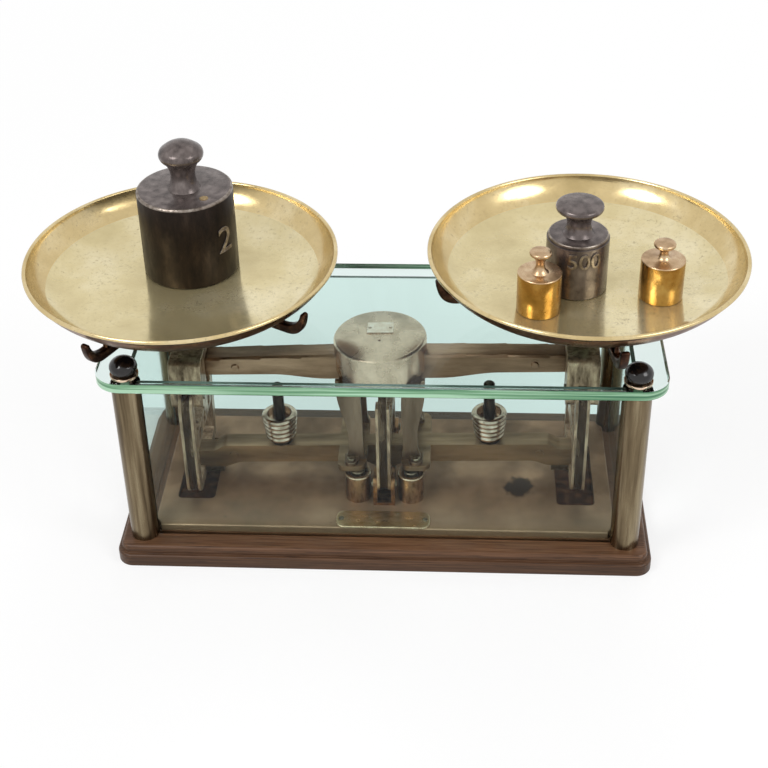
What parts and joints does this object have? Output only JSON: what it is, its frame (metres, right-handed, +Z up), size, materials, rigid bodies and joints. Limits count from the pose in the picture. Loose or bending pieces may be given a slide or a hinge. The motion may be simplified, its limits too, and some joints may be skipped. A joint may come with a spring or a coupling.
{
  "type": "torsion prescription balance",
  "caption": "Two-pan torsion balance: linked beams on stretched bands in a glass case on a wooden plinth, with brass pans and loose weights.",
  "frame": {"origin": "middle of the plinth's underside", "axes": "+X to the right along the beams, +Y to the back, +Z up"},
  "size_m": [0.522, 0.2286, 0.3021],
  "materials": {
    "mahogany": "polished, dark",
    "bed_casting": "painted, aged",
    "name_plate": "satin, bare",
    "screw_steel": "dull",
    "post_nickel": "aged nickel plate",
    "tie_steel": "plain",
    "washer_nickel": "aged nickel plate",
    "cap_black": "gloss black",
    "plate_glass": "clear, faint green, polished edge",
    "pane_glass": "clear",
    "truss_nickel": "aged nickel plate",
    "band_steel": "dark spring steel",
    "foot_brass": "tarnished",
    "beam_nickel": "aged nickel plate",
    "lower_beam_casting": "aged lacquer",
    "jaw_steel": "dull",
    "poise_nickel": "aged nickel plate",
    "stop_casting": "aged lacquer",
    "stud_steel": "darkened",
    "poise_weight": "aged nickel plate",
    "pan_post_steel": "dull",
    "bracket_copper": "dark, coppery",
    "pan_brass": "polished",
    "iron_weight": "blacked, worn",
    "lead_plug": "dull grey",
    "half_weight": "blacked, worn",
    "brass_weight": "satin, aged"
  },
  "bodies": {
    "case": {"plinth": "mahogany", "bed_plate": "bed_casting", "name_plate": "name_plate", "name_plate_screws": "screw_steel", "post_front_left": "post_nickel", "post_front_right": "post_nickel", "post_rear_left": "post_nickel", "post_rear_right": "post_nickel", "tie_rods": "tie_steel", "tie_nuts": "tie_steel", "post_washers": "washer_nickel", "post_caps": "cap_black", "top_glass": "plate_glass", "front_pane": "pane_glass", "rear_pane": "pane_glass", "left_pane": "pane_glass", "right_pane": "pane_glass", "centre_truss": "truss_nickel", "centre_band": "band_steel", "foot_front": "foot_brass", "foot_rear": "foot_brass", "foot_bolts": "screw_steel", "stop_pillar_left": "stop_casting", "stop_pillar_right": "stop_casting", "stop_screws": "screw_steel"},
    "upper_beam": {"upper_beam": "beam_nickel", "upper_jaws": "jaw_steel", "upper_jaw_screws": "screw_steel"},
    "lower_beam": {"lower_beam": "lower_beam_casting", "lower_jaws": "jaw_steel", "lower_jaw_screws": "screw_steel", "high_poise": "poise_nickel", "poise_plate": "name_plate", "poise_legs_front": "poise_nickel", "poise_legs_rear": "poise_nickel", "leg_screws": "screw_steel", "poise_stud_left": "stud_steel", "poise_stud_right": "stud_steel"},
    "poise_weight_left": {"poise_weight_left": "poise_weight"},
    "poise_weight_right": {"poise_weight_right": "poise_weight"},
    "left_end": {"left_truss": "truss_nickel", "left_band": "band_steel", "left_yoke": "truss_nickel", "left_yoke_bolts": "screw_steel", "left_pan_post": "pan_post_steel", "left_bracket": "bracket_copper"},
    "right_end": {"right_truss": "truss_nickel", "right_band": "band_steel", "right_yoke": "truss_nickel", "right_yoke_bolts": "screw_steel", "right_pan_post": "pan_post_steel", "right_bracket": "bracket_copper"},
    "left_pan": {"left_pan": "pan_brass"},
    "right_pan": {"right_pan": "pan_brass"},
    "weight_2000": {"weight_2000": "iron_weight", "weight_2000_plug": "lead_plug"},
    "weight_500": {"weight_500": "half_weight"},
    "weight_200_left": {"weight_200_left": "brass_weight"},
    "weight_200_right": {"weight_200_right": "brass_weight"}
  },
  "joints": [
    {"name": "upper_tilt", "type": "hinge", "parent": "case", "child": "upper_beam", "pos_m": [0, 0, 0.1231], "axis": [0, 1, 0], "range_deg": [0, 3]},
    {"name": "lower_tilt", "type": "hinge", "parent": "case", "child": "lower_beam", "pos_m": [0, 0, 0.0329], "axis": [0, 1, 0], "range_deg": [0, 3]},
    {"name": "left_end_pivot", "type": "hinge", "parent": "upper_beam", "child": "left_end", "pos_m": [-0.14675, 0, 0.11926], "axis": [0, 1, 0], "range_deg": [-3, 0]},
    {"name": "right_end_pivot", "type": "hinge", "parent": "upper_beam", "child": "right_end", "pos_m": [0.14675, 0, 0.12694], "axis": [0, 1, 0], "range_deg": [-3, 0]},
    {"name": "poise_left_slide", "type": "slide", "parent": "lower_beam", "child": "poise_weight_left", "axis": [-0.0262, 0, 0.9997], "range_m": [0, 0.022]},
    {"name": "poise_right_slide", "type": "slide", "parent": "lower_beam", "child": "poise_weight_right", "axis": [-0.0262, 0, 0.9997], "range_m": [0, 0.022]},
    {"name": "left_pan_lift", "type": "slide", "parent": "left_end", "child": "left_pan", "axis": [0, 0, 1], "range_m": [0, 0.05]},
    {"name": "right_pan_lift", "type": "slide", "parent": "right_end", "child": "right_pan", "axis": [0, 0, 1], "range_m": [0, 0.05]},
    {"name": "weight_2000_lift", "type": "slide", "parent": "left_pan", "child": "weight_2000", "axis": [0, 0, 1], "range_m": [0, 0.06]},
    {"name": "weight_500_lift", "type": "slide", "parent": "right_pan", "child": "weight_500", "axis": [0, 0, 1], "range_m": [0, 0.06]},
    {"name": "weight_200_left_lift", "type": "slide", "parent": "right_pan", "child": "weight_200_left", "axis": [0, 0, 1], "range_m": [0, 0.06]},
    {"name": "weight_200_right_lift", "type": "slide", "parent": "right_pan", "child": "weight_200_right", "axis": [0, 0, 1], "range_m": [0, 0.06]}
  ],
  "couplings": [
    {"joint": "lower_tilt", "follows": "upper_tilt", "ratio": 1},
    {"joint": "left_end_pivot", "follows": "upper_tilt", "ratio": -1},
    {"joint": "right_end_pivot", "follows": "upper_tilt", "ratio": -1}
  ]
}
